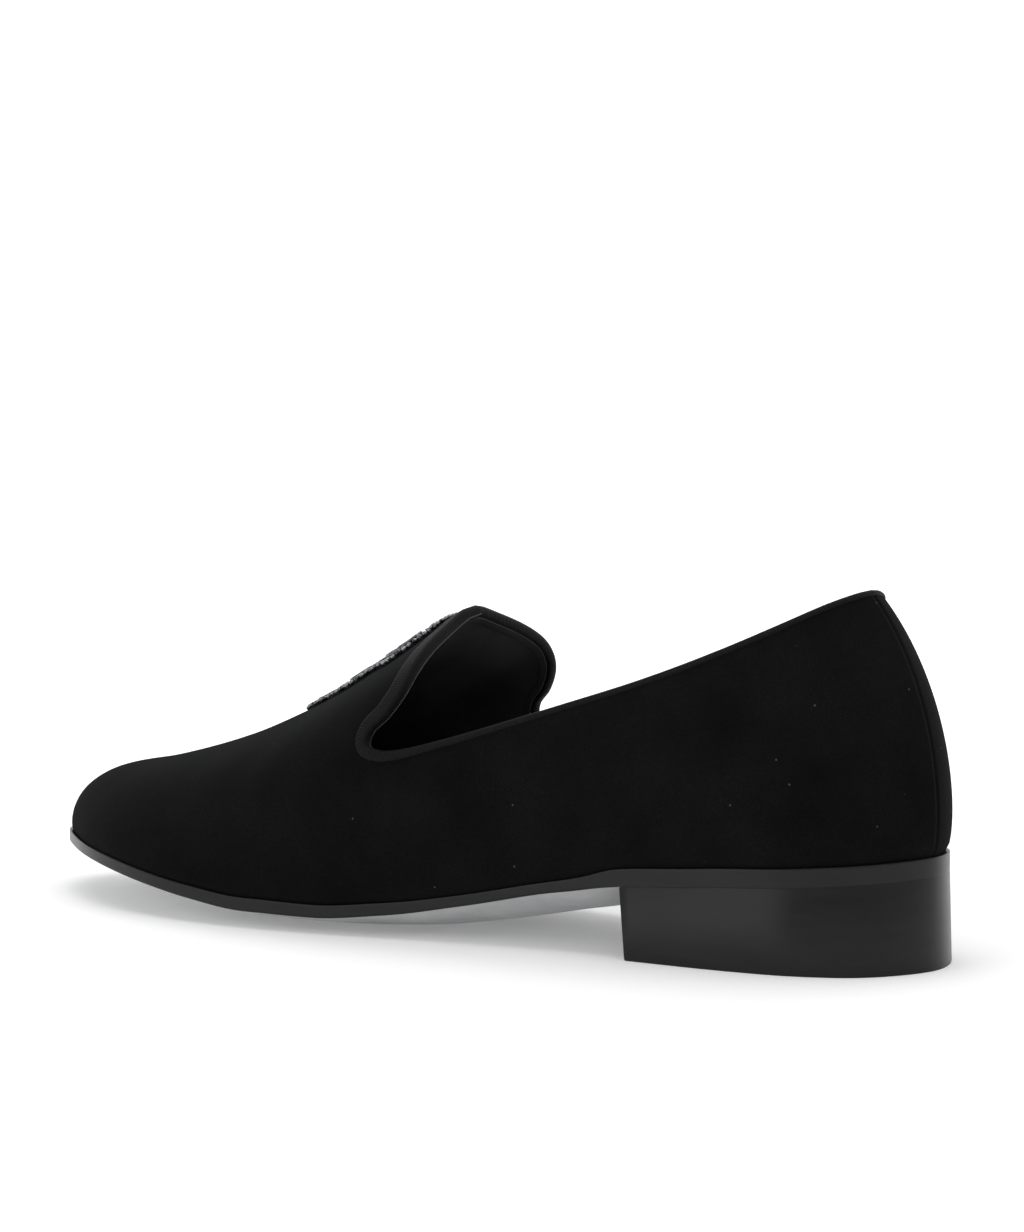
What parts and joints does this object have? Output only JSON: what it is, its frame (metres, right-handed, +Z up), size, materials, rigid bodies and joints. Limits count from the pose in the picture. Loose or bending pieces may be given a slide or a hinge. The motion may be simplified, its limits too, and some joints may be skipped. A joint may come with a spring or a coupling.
{
  "type": "embellished loafer",
  "caption": "Left slip-on loafer: velvet upper with a high peaked tongue, bead-work on the vamp, ribbon-bound topline, thin outsole and block heel.",
  "frame": {"origin": "on the floor, under the middle of the shoe's box", "axes": "+Z up, -X towards the toe, +X towards the heel, -Y towards the outer side of the foot"},
  "size_m": [0.2834, 0.1004, 0.0971],
  "materials": {
    "velvet": "black cotton velvet with a short pile",
    "ribbon": "black ribbed ribbon",
    "beadwork": "black and smoke-grey beads, sequins and coiled wire",
    "heel_block": "satin black",
    "sole": "dark grey edge, pale grey underside",
    "sock": "smooth black lining leather"
  },
  "bodies": {
    "root": {"outsole": "sole", "heel": "heel_block", "insole": "sock", "upper": "velvet", "topline_binding": "ribbon", "vamp_ornament": "beadwork"}
  },
  "joints": []
}
